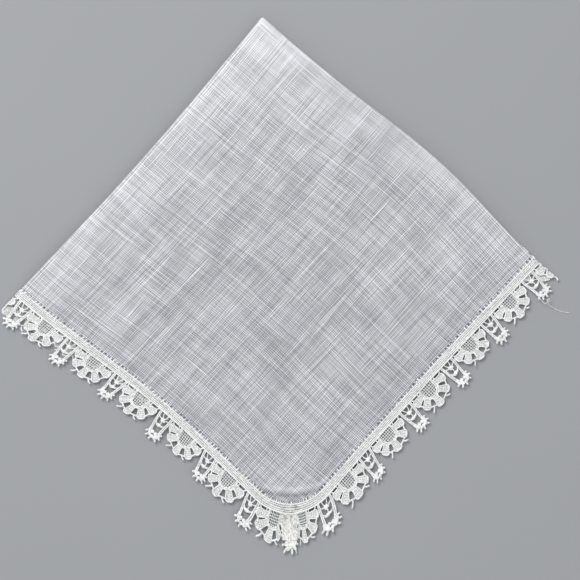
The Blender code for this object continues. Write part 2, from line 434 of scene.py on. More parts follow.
# The threads between petals: radius and thickness, where they start, and how they dip.
RIM_RADIUS = 7.15
RIMS = ((RIM_RADIUS, 1.05), (PETAL_START + 0.85, 1.0))
RIM_MARGIN = 9
RIM_STEPS = 6
RIM_DIP = 0.25
FAN_PICOT_START = RIM_RADIUS - 0.3
FAN_PICOTS = (
    # angle round the fan's middle in degrees, how far it reaches, how much it curls
    (70, 8.45, -7.0),
    (117, 9.15, 4.0),
)
FAN_TIES = (
    # where a short thread holds a petal to the header: at the header, and at the petal
    ((-7.60, 2.9), (-6.70, 4.10)),
    ((-4.60, 2.9), (-4.35, 3.85)),
    ((4.30, 2.9), (4.30, 4.00)),
    ((7.90, 2.9), (6.80, 4.20)),
)

BELL_BARS = (
    # its middle line, and how far its two threads are from it
    (((-2.40, 3.0), (-2.35, 5.2), (-2.20, 7.4), (-2.00, 9.4), (-1.75, 10.8)), 0.27),
    (((3.00, 3.0), (2.80, 5.2), (2.45, 7.4), (2.15, 9.4), (1.85, 10.8)), 0.29),
)
BAR_HEIGHTS = (0.14, 0.20)
BAR_RADIUS = 0.27
BELL_LUMPS = (
    # middle, half sizes, angle in degrees: the pads between the bars, then those of the bell's end
    ((0.15, 5.60), (1.10, 0.85), 10),
    ((-0.05, 8.05), (1.55, 0.62), -6),
    ((-1.95, 10.55), (0.72, 0.85), 12),
    ((2.00, 10.55), (0.72, 0.85), -12),
    ((-1.85, 11.60), (0.98, 0.80), 40),
    ((-0.60, 11.25), (0.80, 0.72), 0),
    ((0.85, 11.30), (0.82, 0.72), 10),
    ((1.95, 11.55), (0.95, 0.80), -35),
    ((-1.15, 12.50), (0.92, 0.70), 25),
    ((0.15, 12.70), (0.88, 0.70), -10),
    ((1.35, 12.45), (0.92, 0.70), -25),
)
BELL_PICOTS = (
    # where each small loop starts, and where it ends
    ((-2.40, 11.8), (-3.05, 12.20)),
    ((-1.60, 12.9), (-2.10, 13.55)),
    ((-0.15, 13.2), (-0.20, 13.95)),
    ((1.90, 12.8), (2.30, 13.30)),
    ((2.50, 11.6), (3.15, 11.90)),
    ((2.50, 10.4), (3.05, 10.40)),
)
BELL_TIES = (
    # the threads that hold the pads between the bars
    ((-2.30, 6.7), (-1.20, 7.80), (-0.05, 8.05)),
    ((-0.05, 8.05), (1.30, 7.70), (2.50, 7.0)),
    ((-2.35, 4.9), (0.15, 5.55), (2.80, 4.7)),
    ((0.15, 5.55), (0.25, 6.80), (-0.05, 8.05)),
    ((-0.95, 3.0), (-0.60, 4.40), (0.15, 5.55)),
    ((1.30, 3.0), (0.90, 4.40), (0.15, 5.55)),
)

TIE_RADIUS = 0.23
TIE_HEIGHT = 0.12
# Pads lie on each other at these heights in turn.
LUMP_HEIGHT = 0.32
LUMP_LIFTS = (0.06, 0.11, 0.16)
LUMP_KNOBS = 0.12
PICOT_RADIUS = 0.40
PICOT_HEIGHT = 0.16
PICOT_END = 0.7

# Heights above the sheet's middle, and radii of threads.
FILLING_HEIGHT = 0.02
FINE_HEIGHT = 0.10
BOLD_HEIGHT = 0.22
LOWER_BOLD_HEIGHT = 0.16
FINE_RADIUS = 0.17
FINE_SIDES = 4
NET_THREAD = 0.125
BOLD_RADIUS = 0.30


def on_circle(radius, degrees):
    """Points round the fan's middle."""
    turn = np.radians(degrees)
    outward = np.stack([np.cos(turn), np.sin(turn)], -1)
    return np.array(FAN_MIDDLE) + np.asarray(radius)[..., None] * outward


def petal_lines(angle, turn, reach):
    """The middle line of a petal, its direction across, and its half width, from base to tip."""
    share = np.sin(np.linspace(0.0, math.pi / 2, PETAL_STEPS))
    spine = on_circle(PETAL_START + (reach - PETAL_START) * share, angle + turn * share)
    return spine, path_frame(spine)[1], np.interp(share, PETAL_SHARES, PETAL_HALVES)


def draw_petal(filling, threads, row):
    """Cloth stitch: a filling, threads along and across it, and a bold thread round it."""
    spine, across, half = petal_lines(*row)
    sides = np.linspace(-1, 1, FILLING_COLUMNS)
    surface = spine[:, None, :] + across[:, None, :] * (half[:, None] * sides)[..., None]
    rise = np.broadcast_to(FILLING_HEIGHT + FILLING_SWELL * (1 - sides**2), surface.shape[:2])
    points = np.concatenate([surface, rise[..., None]], -1)
    filling.add(points, grid_faces(len(spine), len(sides)))
    for place in LONG_THREADS:
        line = (spine + across * (half * place)[:, None])[:-1]
        height = FINE_HEIGHT + LONG_THREAD_SWELL * (1 - place**2)
        thread(threads, line[::2], FINE_RADIUS, height, sides=FINE_SIDES)
    for share in np.linspace(*CROSS_THREADS):
        step = share * (len(spine) - 1)
        at, left = int(step), step % 1
        middle = spine[at] * (1 - left) + spine[at + 1] * left
        wide = (half[at] * (1 - left) + half[at + 1] * left) * CROSS_THREAD_WIDTH
        line = np.linspace(middle - across[at] * wide, middle + across[at] * wide, 4)
        thread(threads, line, FINE_RADIUS, FINE_HEIGHT + CROSS_THREAD_RISE, sides=FINE_SIDES)
    edge = across * (half * OUTLINE_WIDTH)[:, None]
    outline = np.concatenate([spine + edge, (spine - edge)[::-1]])
    thread(threads, outline, BOLD_RADIUS * 0.85, BOLD_HEIGHT)


def net_frame(spread, degrees):
    """The arched frame of the net, moved out by a spread, at these angles round its middle."""
    turn = np.radians(degrees)
    power = 2 / NET_SQUARENESS
    x = np.copysign(np.abs(np.cos(turn)) ** power, np.cos(turn)) * (NET_HALF_WIDTH + spread)
    y = np.abs(np.sin(turn)) ** power * (NET_HALF_DEPTH + spread)
    return np.stack([x, y + FAN_MIDDLE[1]], -1)


def net_reach(off):
    """How far the net reaches, as a share, at a share of its half size away from its middle."""
    return (1 - off**NET_SQUARENESS) ** (1 / NET_SQUARENESS)


def draw_net(shape):
    """The fan's middle: a small-holed net in an arched frame, on the header."""
    middle = FAN_MIDDLE[1]
    for depth in NET_ROWS:
        reach = NET_HALF_WIDTH * net_reach(max(0.0, (depth - middle) / NET_HALF_DEPTH))
        row = ((-reach, depth), (0.0, depth + NET_SAG), (reach, depth))
        thread(shape, row, NET_THREAD, FINE_HEIGHT, sides=FINE_SIDES)
    for place in NET_COLUMNS:
        reach = NET_HALF_DEPTH * net_reach(abs(place) / NET_HALF_WIDTH)
        column = ((place, NET_START), (place * NET_SPREAD, middle), (place, middle + reach))
        thread(shape, column, NET_THREAD, LOWER_BOLD_HEIGHT, sides=FINE_SIDES)
    for spread, height in ((0.0, BOLD_HEIGHT), (FRAME_STEP, LOWER_BOLD_HEIGHT)):
        arch = net_frame(spread, np.linspace(0, 180, FRAME_POINTS))
        foot = NET_HALF_WIDTH + spread + FOOT_SPREAD
        path = np.concatenate([[(foot, LACE_START)], arch, [(-foot, LACE_START)]])
        thread(shape, path, BOLD_RADIUS * 0.9, height)


def draw_fan(filling, petals, fans):
    """A net with five petals round it, the threads between them, its picots and its ties."""
    draw_net(fans)
    for row in PETALS:
        draw_petal(filling, petals, row)
    angles = [row[0] for row in PETALS]
    for low, high in zip(angles, angles[1:]):
        for radius, thick in RIMS:
            rim = np.linspace(low + RIM_MARGIN, high - RIM_MARGIN, RIM_STEPS)
            dip = RIM_DIP * np.sin(np.linspace(0, math.pi, RIM_STEPS))
            thread(fans, on_circle(radius - dip, rim), BOLD_RADIUS * thick, LOWER_BOLD_HEIGHT)
    for angle, reach, curl in FAN_PICOTS:
        share = np.linspace(0, 1, RIM_STEPS)
        radius = FAN_PICOT_START + (reach - FAN_PICOT_START) * share
        line = on_circle(radius, angle + curl * share**2)
        thread(fans, line, BOLD_RADIUS * 1.1, BOLD_HEIGHT, end=0.5)
    for start, end in FAN_TIES:
        thread(fans, np.linspace(start, end, 4), BOLD_RADIUS * 0.85, FINE_HEIGHT)


def draw_lumps(shape, lumps):
    """The pads of a bell or a knob."""
    for step, (middle, sizes, angle) in enumerate(lumps):
        lift = LUMP_LIFTS[step % len(LUMP_LIFTS)]
        mound(shape, middle, sizes, math.radians(angle), LUMP_HEIGHT, lift, LUMP_KNOBS)


def draw_picots(shape, picots):
    """Short, thick loops that stand out from an edge."""
    for start, end in picots:
        thread(shape, np.linspace(start, end, 4), PICOT_RADIUS, PICOT_HEIGHT, end=PICOT_END)


def draw_bell(shape):
    """Two bars of two threads each, with pads and ties between them and a knotted end."""
    for bar, apart in BELL_BARS:
        path = smooth_path(bar, 3)
        for place, height in zip((-apart, apart), BAR_HEIGHTS):
            thread(shape, path + path_frame(path)[1] * place, BAR_RADIUS, height)
    for tie in BELL_TIES:
        thread(shape, smooth_path(tie, 3), TIE_RADIUS, TIE_HEIGHT, sides=FINE_SIDES)
    draw_lumps(shape, BELL_LUMPS)
    draw_picots(shape, BELL_PICOTS)


# The seam at a corner, where the lace is gathered.
CORNER_MASS = ((-6.6, 5.4), (3.5, 10.6))
# Its threads start on the header, and bend and draw in on their way to the knob.
CORNER_FOLDS = 19
CORNER_START = 2.6
CORNER_BEND = 1.1
CORNER_GATHER = 0.52
CORNER_PADS = 38
CORNER_NARROWING = 0.5
CORNER_KNOBS = 0.15
CORNER_KNOB = (
    ((0.3, 10.9), (2.0, 0.75), 0),
    ((-0.9, 11.9), (1.35, 0.80), 30),
    ((1.9, 11.9), (1.45, 0.80), -25),
    ((0.5, 12.2), (1.30, 0.95), 0),
    ((-0.5, 13.1), (1.05, 0.65), -20),
    ((1.6, 13.1), (1.10, 0.65), 20),
)
CORNER_PICOTS = (
    ((-1.8, 11.9), (-3.30, 12.20)),
    ((-1.0, 13.0), (-1.90, 14.10)),
    ((0.5, 13.2), (0.40, 14.50)),
    ((1.8, 13.1), (2.30, 14.30)),
    ((2.9, 11.9), (4.20, 12.10)),
)


def draw_corner(shape):
    """The seam of the lace at a corner: a crumpled wedge from the header to a small knob."""
    rng = np.random.default_rng(CORNER_SEED)
    (left, right), (low, high) = CORNER_MASS
    for start in np.linspace(left, right, CORNER_FOLDS):
        bend = rng.normal(0.0, CORNER_BEND, 3)
        inward = CORNER_GATHER * rng.uniform(0.6, 1.4)
        share = np.array((0.0, 0.5, 1.0))
        across = start * (1 - inward * share) + bend * share
        line = np.stack([across, CORNER_START + (high - CORNER_START) * share], -1)
        thread(shape, smooth_path(line, 4), rng.uniform(0.28, 0.42), rng.uniform(0.12, 0.34))
    for _ in range(CORNER_PADS):
        place, depth = rng.uniform(left, right), rng.uniform(low, high)
        place *= 1 - CORNER_NARROWING * (depth - low) / (high - low)
        sizes = (rng.uniform(1.3, 2.4), rng.uniform(0.5, 0.9))
        angle, height = rng.normal(0.0, 0.45), rng.uniform(0.18, 0.34)
        lift = rng.uniform(0.06, 0.18)
        mound(shape, (place, depth), sizes, angle, height, lift, CORNER_KNOBS)
    draw_lumps(shape, CORNER_KNOB)
    draw_picots(shape, CORNER_PICOTS)


# How much copies differ: their lean, width, depth and lift, and the waver of their threads, with
# four waves in radians a metre. It grows from the header over a short way.
LOOSE_REACH = 0.010
LEAN_SPREAD = 0.00040
WIDTH_SPREAD = 0.025
DEPTH_SPREAD = 0.00025
LIFT_SPREAD = 0.00005
WAVER = 0.00012
WAVER_WAVES = (900, 700, 800, 600)


def set_round(shape, places, seed, leans=0.0):
    """Sets a flat shape at these places along the edge, each a little different, and folds them."""
    points = np.concatenate(shape.points) * MM
    rng = np.random.default_rng(seed)
    count = len(places)
    along, out, up = (np.broadcast_to(points[:, i], (count, len(points))) for i in range(3))
    past_header = out - HEADER_WIDTH * MM
    free = clamped(past_header / LOOSE_REACH)
    lean, stretch, widen, lift = rng.normal(0.0, 1.0, (4, count, 1))
    phase = rng.uniform(0, 2 * math.pi, (4, count, 1))
    ways = zip((out, along, along, out), WAVER_WAVES, phase)
    a, b, c, d = (np.sin(way * wave + start) for way, wave, start in ways)
    leaning = np.broadcast_to(leans, count)[:, None] * np.maximum(past_header, 0.0)
    loosened = LEAN_SPREAD * lean + WIDTH_SPREAD * widen * along + WAVER * (a + b)
    new_along = along + free * loosened + leaning
    new_out = out + free * (DEPTH_SPREAD * stretch + WAVER * (c + d))
    new_up = up + free * LIFT_SPREAD * (lift + a + b)
    world = on_cloth(places[:, None] + new_along / REPEAT, new_out, new_up)
    size = len(points)
    return world, [
        tuple(i + copy * size for i in face[::-1]) for copy in range(count) for face in shape.faces
    ]


def set_along(shape):
    """Folds a shape that is drawn once along the whole edge."""
    along, out, up = np.concatenate(shape.points).T * MM
    return on_cloth(along / REPEAT % REPEATS, out, up), [face[::-1] for face in shape.faces]


def placed(name, data):
    """A new object in the scene, with this mesh, light or camera."""
    made = bpy.data.objects.new(name, data)
    bpy.context.scene.collection.objects.link(made)
    return made


def make_piece(name, points, faces, material, slot):
    """A smooth mesh of one material, as a piece of the only body."""
    mesh = bpy.data.meshes.new(name)
    mesh.from_pydata(points.tolist(), [], faces)
    mesh.materials.append(material)
    mesh.shade_smooth()
    made = placed(name, mesh)
    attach(made, "root")
    return made


# The header: parallel threads along the edge, zigzags between them, and a flat band under them.
# Steps of its threads in one repeat.
HEADER_STEPS = 16
HEADER_THREADS = (
    # depth, radius, height: millimetres
    (0.30, 0.25, 0.20), (0.92, 0.22, 0.12), (1.60, 0.22, 0.14), (2.28, 0.22, 0.12),
    (2.90, 0.33, 0.24),
)
HEADER_SIDES = 5
HEADER_WANDER = 0.035
BAND_DEPTHS = (0.0, 1.0, 2.0, HEADER_WIDTH)
BAND_HEIGHT = 0.03
# The zigzags: how many in a repeat, how far out and how far apart their two rows are, how far each
# goes to and fro, and how uneven they are.
ZIGZAGS = 20
ZIGZAG_DEPTH = 1.25
ZIGZAG_ROW_STEP = 0.68
ZIGZAG_REACH = 0.42
ZIGZAG_RADIUS = 0.17
ZIGZAG_HEIGHT = 0.20
ZIGZAG_JITTER = 0.08
ZIGZAG_RISE = 0.03


def make_zigzag(material):
    """Two threads that go to and fro between the header's strands."""
    rng = np.random.default_rng(ZIGZAG_SEED)
    total = REPEATS * ZIGZAGS * 2 + 1
    turns = np.arange(total)
    shape = Shape()
    for row in (0, 1):
        side = np.where(turns % 2 == row, ZIGZAG_REACH, -ZIGZAG_REACH)
        out = ZIGZAG_DEPTH + ZIGZAG_ROW_STEP * row + side + rng.normal(0, ZIGZAG_JITTER, total)
        along = turns / (2 * ZIGZAGS) * REPEAT / MM + rng.normal(0, ZIGZAG_JITTER, total)
        height = ZIGZAG_HEIGHT + rng.normal(0, ZIGZAG_RISE, total)
        thread(shape, np.stack([along, out], -1), ZIGZAG_RADIUS, height, sides=FINE_SIDES)
    return make_piece("lace_zigzag", *set_along(shape), material, "lace")


def ring_faces(steps, columns, closed):
    """The faces of a grid whose last row joins its first."""
    count = steps * columns
    return [tuple(i % count for i in face) for face in grid_faces(steps + 1, columns, closed)]


def make_header_band(material):
    """The flat band under the header's threads."""
    steps = REPEATS * HEADER_STEPS
    places = np.arange(steps) / HEADER_STEPS
    size = (steps, len(BAND_DEPTHS))
    depths = np.broadcast_to(np.array(BAND_DEPTHS) * MM, size)
    heights = np.full(size, BAND_HEIGHT * MM)
    points = on_cloth(np.broadcast_to(places[:, None], size), depths, heights)
    return make_piece("lace_header_band", points, ring_faces(*size, closed=False), material, "lace")


def make_header(material):
    """The header's parallel threads, each a closed ring round the whole cloth."""
    rng = np.random.default_rng(HEADER_SEED)
    steps = REPEATS * HEADER_STEPS
    places = np.arange(steps) / HEADER_STEPS
    turn = ring(HEADER_SIDES)
    shape = Shape()
    for depth, radius, height in HEADER_THREADS:
        wander = rng.normal(0.0, HEADER_WANDER, steps)
        joined = np.concatenate([wander[-2:], wander, wander[:2]])
        wander = np.convolve(joined, np.ones(5) / 3, "valid")
        uneven = 0.16 * np.sin(places * 9.1 + depth * 7) + rng.normal(0, 0.06, steps)
        thick = radius * (1 + uneven)[:, None]
        out = (depth + wander)[:, None] + thick * np.cos(turn)
        up = (height + 0.5 * wander)[:, None] + thick * np.sin(turn)
        points = on_cloth(np.broadcast_to(places[:, None], out.shape), out * MM, up * MM)
        shape.add(points, ring_faces(steps, HEADER_SIDES, closed=True))
    return make_piece("lace_header", np.concatenate(shape.points), shape.faces, material, "lace")


# Small slanting stitches that sew the header to the linen: how many in a repeat, where they start,
# the mean and spread of slant and reach, the least and most radius, and the heights along one.
STITCHES = 14
STITCH_START = 0.75
STITCH_JITTER = 0.22
STITCH_SLANT = (0.35, 0.30)
STITCH_REACH = (0.42, 0.32)
STITCH_RADIUS = (0.15, 0.33)
STITCH_HEIGHTS = np.array((0.26, 0.34, 0.30, 0.20, 0.06))


def make_hem_stitches(material):
    """The stitches, from the header into the linen."""
    rng = np.random.default_rng(STITCH_SEED)
    shape = Shape()
    for step in range(REPEATS * STITCHES):
        place = step + rng.uniform(-STITCH_JITTER, STITCH_JITTER)
        start = place / STITCHES * REPEAT / MM
        slant = rng.normal(*STITCH_SLANT)
        inside = -abs(rng.normal(*STITCH_REACH)) - 0.05
        points = ((start, STITCH_START), (start + slant / 2, 0.1), (start + slant, inside))
        radius = rng.uniform(*STITCH_RADIUS)
        thread(shape, smooth_path(points, 2), radius, STITCH_HEIGHTS, sides=FINE_SIDES, end=0.6)
    return make_piece("hem_stitches", *set_along(shape), material, "lace")


# The linen sheet: where its grid is cut, and how far it goes in under the header.
UNDER_HEADER = 0.0006
COARSE_STEP = 0.0024
FINE_STEP = 0.0008
FINE_FROM = 0.104
CORNER_STEPS = 12
BEND_LINES = 13

# A soft ridge lies in the top layer near its free corner; a light rim on it and a thin shade just
# below it are painted.
RIDGE = (
    (-0.0100, -0.0742), (-0.0035, -0.0762), (0.0040, -0.0772),
    (0.0110, -0.0764), (0.0175, -0.0739), (0.0225, -0.0712),
)
RIDGE_HEIGHT = 0.00035
RIDGE_SPREAD = 0.0008
CLEAR_OF_FOLDS = 0.02
# Distance from the ridge, spread and tone of its painted light rim and of the painted shade below
# it.
RIDGE_PAINTED_HIGHLIGHT = (0.0, 0.0011, 0.17)
RIDGE_PAINTED_SHADE = (0.0019, 0.0008, -0.24)

# How much lighter the cloth is near its two folds: how near, how sharply, and the tone.
LEFT_FOLD_TONES = ((0.0155, 4, 0.08), (0.033, 2, 0.04), (0.0022, 2, 0.10))
RIGHT_FOLD_TONES = ((0.0115, 4, 0.07), (0.028, 2, 0.03), (0.0016, 2, 0.08))
# Painted light near the creased corner and painted shade in the middle of the cloth: x, y, spread,
# tone.
PAINTED_LIGHT_AND_SHADE_PLACES = ((-0.006, 0.095, 0.035, 0.06), (0.004, 0.0, 0.045, -0.05))
BASE_TONE = 0.04


def sheet_lines(fold_radius):
    """Where the linen's grid is cut in one direction."""
    half_bend = math.pi / 2 * fold_radius
    corner = TOP_QUARTER - CORNER_RADIUS
    bend = np.linspace(-half_bend, half_bend, BEND_LINES)
    top = np.concatenate([
        np.arange(half_bend + COARSE_STEP / 2, FINE_FROM, COARSE_STEP),
        np.arange(FINE_FROM, corner, FINE_STEP),
        np.linspace(corner, TOP_QUARTER + UNDER_HEADER, 2 * CORNER_STEPS),
    ])
    under_corner = UNDER_QUARTER - CORNER_RADIUS
    under = np.concatenate([
        np.arange(half_bend + COARSE_STEP / 2, under_corner - COARSE_STEP / 2, COARSE_STEP),
        np.linspace(under_corner, UNDER_QUARTER + UNDER_HEADER, CORNER_STEPS),
    ])
    return np.concatenate([-under[::-1], bend, top])


def rounded_square(s, t):
    """Moves the grid's square corners onto the cloth's rounded ones."""
    inner = HALF_SIDE - CORNER_RADIUS
    reach = CORNER_RADIUS + UNDER_HEADER
    across, along = s - CENTRE_OFFSET, t - CENTRE_OFFSET
    p = np.maximum(np.abs(across) - inner, 0.0) / reach
    q = np.maximum(np.abs(along) - inner, 0.0) / reach
    new_across = np.where(p > 0, inner + reach * p * np.sqrt(1 - q**2 / 2), np.abs(across))
    new_along = np.where(q > 0, inner + reach * q * np.sqrt(1 - p**2 / 2), np.abs(along))
    new_s = np.copysign(new_across, across) + CENTRE_OFFSET
    return new_s, np.copysign(new_along, along) + CENTRE_OFFSET


def edge_coordinates(s, t):
    """The place of the edge point nearest to a point of the flat sheet, and how far in that is."""
    inner = HALF_SIDE - CORNER_RADIUS
    x, y = s - CENTRE_OFFSET, t - CENTRE_OFFSET
    p, q = np.abs(x) - inner, np.abs(y) - inner
    in_corner = (p > 0) & (q > 0)
    inside = np.where(
        in_corner,
        CORNER_RADIUS - np.hypot(np.maximum(p, 0), np.maximum(q, 0)),
        HALF_SIDE - np.maximum(np.abs(x), np.abs(y)),
    )
    side = np.where(np.abs(y) >= np.abs(x), np.where(y > 0, 0, 2), np.where(x > 0, 1, 3))
    along = np.choose(side, [x, -y, -x, y])
    off = np.choose(side, [y, x, -y, -x])
    lean = np.arctan2(np.abs(along) - inner, np.maximum(off - inner, 1e-9))
    curved = np.copysign(inner + CORNER_RADIUS * lean, along)
    from_start = np.where(in_corner, curved, along) + SIDE_PATH / 2
    # Where that is in repeats: the eased places of the near corner, the other way round.
    steps = np.linspace(-0.5, SIDE_REPEATS / 2 + 0.5, 700)
    near = from_start < SIDE_PATH / 2
    to_corner = np.where(near, from_start + SEAM_SHIFT, SIDE_PATH - from_start - SEAM_SHIFT)
    repeats = np.interp(to_corner, eased(steps), steps)
    places = SIDE_REPEATS * side + np.where(near, repeats, SIDE_REPEATS - repeats)
    return places + drawn_back(places), inside


def distance_to_line(x, y, line):
    """The distance of points in the view from above to a line, and how far along it they are."""
    path = smooth_path(line, 6)
    best = np.full(x.shape, 1.0)
    share = np.zeros_like(x)
    for i, (start, end) in enumerate(zip(path, path[1:])):
        way = end - start
        along = clamped(((x - start[0]) * way[0] + (y - start[1]) * way[1]) / (way @ way))
        gap = np.hypot(x - start[0] - along * way[0], y - start[1] - along * way[1])
        nearer = gap < best
        best = np.where(nearer, gap, best)
        share = np.where(nearer, (i + along) / (len(path) - 1), share)
    return best, share


def sheet_tone(s, t, x, y, gap, fade):
    """How much lighter or darker than the middle of the cloth each point is: lighter bands at the
    folds, and painted light and shade near the top, in the middle and along the ridge.
    """
    tone = np.full_like(x, BASE_TONE)
    for to_fold, tones in ((np.abs(s), LEFT_FOLD_TONES), (np.abs(t), RIGHT_FOLD_TONES)):
        for near, power, lighter in tones:
            tone += lighter * np.exp(-((to_fold / near) ** power))
    # Painted light near the creased corner and painted shade in the middle.
    for middle_x, middle_y, spread, lighter in PAINTED_LIGHT_AND_SHADE_PLACES:
        tone += lighter * np.exp(-np.hypot(x - middle_x, y - middle_y) ** 2 / spread**2)
    # The ridge's light rim is a painted highlight, and the thin band below it painted shade.
    top = (s > 0) & (t > 0)
    below = top & (y < np.interp(x, *np.transpose(RIDGE)))
    for here, (distance, spread, lighter) in ((top, RIDGE_PAINTED_HIGHLIGHT), (below, RIDGE_PAINTED_SHADE)):
        tone += np.where(here, lighter * fade * np.exp(-(((gap - distance) / spread) ** 2)), 0)
    return tone


def make_linen(material):
    """The linen sheet, with its flat places, its places along the edge and its tones."""
    s_lines, t_lines = sheet_lines(OUTER_RADIUS), sheet_lines(INNER_RADIUS)
    s, t = rounded_square(*np.meshgrid(s_lines, t_lines, indexing="ij"))
    world = folded(s, t, np.zeros_like(s))
    x, y = world[..., 0], world[..., 1]
    gap, share = distance_to_line(x, y, RIDGE)
    fade = np.sin(math.pi * share) ** 0.5
    ridge = RIDGE_HEIGHT * fade * np.exp(-((gap / RIDGE_SPREAD) ** 2))
    world[..., 2] += np.where((s > CLEAR_OF_FOLDS) & (t > CLEAR_OF_FOLDS), ridge, 0.0)
    faces = [face[::-1] for face in grid_faces(len(s_lines), len(t_lines))]
    sheet = make_piece("linen_sheet", world.reshape(-1, 3), faces, material, "linen")
    mesh = sheet.data
    along, inside = edge_coordinates(s, t)
    corner_of = np.zeros(len(mesh.loops), int)
    mesh.loops.foreach_get("vertex_index", corner_of)
    for name, u, v in (
        ("flat", (s + UNDER_QUARTER) / CLOTH_SIDE, (t + UNDER_QUARTER) / CLOTH_SIDE),
        ("edge", along / REPEATS, inside / CLOTH_SIDE),
    ):
        layer = mesh.uv_layers.new(name=name)
        pairs = np.stack([u.ravel()[corner_of], v.ravel()[corner_of]], -1)
        layer.data.foreach_set("uv", pairs.astype(np.float32).ravel())
    tone = mesh.attributes.new("tone", "FLOAT", "POINT")
    tone.data.foreach_set("value", sheet_tone(s, t, x, y, gap, fade).astype(np.float32).ravel())
    return sheet


# A loose end of thread that has come out of the seam: places seen from above, and heights.
LOOSE_THREAD = (
    (0.0983, -0.0041, 0.0024), (0.0997, -0.0057, 0.0021), (0.1009, -0.0065, 0.0018),
    (0.1022, -0.0056, 0.0021), (0.1023, -0.0047, 0.0022), (0.1016, -0.0053, 0.0020),
    (0.1024, -0.0071, 0.0012), (0.1038, -0.0080, 0.0007), (0.1053, -0.0089, 0.0004),
    (0.1077, -0.0097, 0.0003), (0.1100, -0.0100, 0.0003),
)
LOOSE_RADIUS = 0.00011
LOOSE_SIDES = 6


def make_loose_thread(material):
    """A thread that isn't drawn flat: it lies where the table says."""
    path = smooth_path(LOOSE_THREAD, 5)
    way, _ = path_frame(path)
    across = np.cross(way, (0.0, 0.0, 1.0))
    across /= np.linalg.norm(across, axis=1)[:, None]
    upward = np.cross(across, way)
    turn = ring(LOOSE_SIDES)[None, :, None]
    around = across[:, None, :] * np.cos(turn) + upward[:, None, :] * np.sin(turn)
    points = (path[:, None, :] + LOOSE_RADIUS * around).reshape(-1, 3)
    faces = tube_faces(len(path), LOOSE_SIDES)
    return make_piece("loose_thread", points, faces, material, "lace")


class Graph:
    """A material's nodes, with short calls for the kinds that are used here."""

    def __init__(self, name, roughness, sheen):
        self.material = bpy.data.materials.new(name)
        self.material.use_nodes = True
        self.nodes = self.material.node_tree.nodes
        self.links = self.material.node_tree.links
        self.shader = self.nodes["Principled BSDF"]
        gloss = {"Roughness": roughness, "Specular IOR Level": 0.25}
        for socket, value in {**gloss, "Sheen Weight": sheen, "Sheen Roughness": 0.6}.items():
            self.put(self.shader.inputs[socket], value)

    def colour(self, value):
        self.put(self.shader.inputs["Base Color"], value)

    def put(self, socket, value):
        if isinstance(value, bpy.types.NodeSocket):
            self.links.new(value, socket)
        else:
            socket.default_value = value

    def add(self, kind, inputs, **settings):
        """A new node with these inputs and settings."""
        node = self.nodes.new("ShaderNode" + kind)
        for name, value in settings.items():
            setattr(node, name, value)
        for name, value in inputs.items():
            self.put(node.inputs[name], value)
        return node

    def math(self, operation, *values):
        return self.add("Math", dict(enumerate(values)), operation=operation).outputs[0]

    def held(self, value, low=0.0):
        """The value, held between the low one and 1."""
        return self.math("MAXIMUM", self.math("MINIMUM", value, 1.0), low)

    def uv(self, name, scale):
        """A UV map's coordinates times a scale for each axis."""
        return self.scaled(self.add("UVMap", {}, uv_map=name).outputs["UV"], scale)

    def place(self, scale):
        return self.scaled(self.add("TexCoord", {}).outputs["Object"], (scale, scale, scale))

    def scaled(self, vector, scale):
        return self.add("VectorMath", {0: vector, 1: scale}, operation="MULTIPLY").outputs[0]

    def noise(self, vector, detail=0.0, roughness=0.5):
        inputs = {"Vector": vector, "Scale": 1.0, "Detail": detail, "Roughness": roughness}
        return self.add("TexNoise", inputs).outputs["Fac"]

    def streaks(self, axis, fine, long, seed, detail=0.0):
        """Noise in streaks along the threads that cross one axis, each begun at another place."""
        flat = self.uv("flat", (1, 1, 0))
        across, along = self.axis(flat, axis), self.axis(flat, "Y" if axis == "X" else "X")
        skewed = self.total(0.0, (along, long), (across, fine * STREAK_SKEW))
        inputs = {"X": self.math("MULTIPLY", across, fine), "Y": skewed, "Z": seed}
        return self.noise(self.add("CombineXYZ", inputs).outputs[0], detail)

    def between(self, value, low, high, to_low=0.0, to_high=1.0):
        """Goes smoothly from one value to another as the given one goes from low to high."""
        inputs = {"Value": value, "From Min": low, "From Max": high}
        inputs.update({"To Min": to_low, "To Max": to_high})
        return self.add("MapRange", inputs, interpolation_type="SMOOTHSTEP").outputs["Result"]

    def axis(self, vector, name):
        return self.add("SeparateXYZ", {0: vector}).outputs[name]

    def total(self, base, *terms):
        """The base plus each term, which is a value and its weight."""
        value = base
        for term, weight in terms:
            value = self.math("MULTIPLY_ADD", term, weight, value)
        return value

    def mix(self, factor, low, high):
        node = self.add("Mix", {"Factor": factor}, data_type="RGBA")
        for name, colour in (("A", low), ("B", high)):
            socket = next(x for x in node.inputs if x.name == name and x.type == "RGBA")
            self.put(socket, colour if isinstance(colour, bpy.types.NodeSocket) else (*colour, 1.0))
        return next(x for x in node.outputs if x.type == "RGBA")

    def bump(self, height):
        inputs = {"Strength": BUMP_STRENGTH, "Distance": BUMP_DEPTH, "Height": height}
        self.put(self.shader.inputs["Normal"], self.add("Bump", inputs).outputs["Normal"])


BUMP_STRENGTH = 0.6
BUMP_DEPTH = 0.0001
# The linen's threads: their spacing and number, how many to a wave of light and dark, and how far
# streaks are skewed.
THREAD_SPACING = 0.00038
THREADS = CLOTH_SIDE / THREAD_SPACING
WAVE_THREADS = 1.85
STREAK_SKEW = 0.37
LINEN_DARK = (0.222, 0.226, 0.250)
LINEN_LIGHT = (0.93, 0.94, 0.97)
# The holes' dark colour is painted shade, as if looking down into them.
HOLE_SHADE_COLOUR = (0.15, 0.155, 0.165)
LEAST_COVER = 0.15


